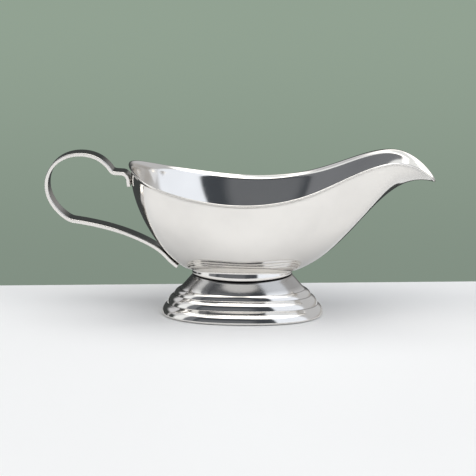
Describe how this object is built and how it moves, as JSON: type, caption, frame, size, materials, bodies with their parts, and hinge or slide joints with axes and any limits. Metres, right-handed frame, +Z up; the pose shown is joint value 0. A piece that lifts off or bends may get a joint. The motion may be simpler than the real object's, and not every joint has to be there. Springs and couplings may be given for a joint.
{
  "type": "gravy boat",
  "caption": "Stainless steel pedestal gravy boat: oval bowl with a beaked pouring spout and turned-out lip, stepped oval foot and bent strip handle.",
  "frame": {"origin": "bottom centre of the bounding box, on the table plane", "axes": "+X runs from the handle to the spout, +Z up from the table, +Y across the bowl; the XZ plane is the plane of symmetry"},
  "size_m": [0.202, 0.0792, 0.0849],
  "materials": {
    "bowl_steel": "bright polished stainless steel with fine polishing lines along the rim",
    "foot_steel": "bright polished stainless steel, spun lines around the oval",
    "handle_steel": "bright polished stainless strip with polished edges",
    "weld_steel": "dull grey resistance weld metal, hidden in the crevices"
  },
  "bodies": {
    "root": {"bowl": "bowl_steel", "foot": "foot_steel", "handle": "handle_steel", "foot_weld_nuggets": "weld_steel", "handle_top_weld_nuggets": "weld_steel", "handle_lower_weld_nuggets": "weld_steel"}
  },
  "joints": []
}
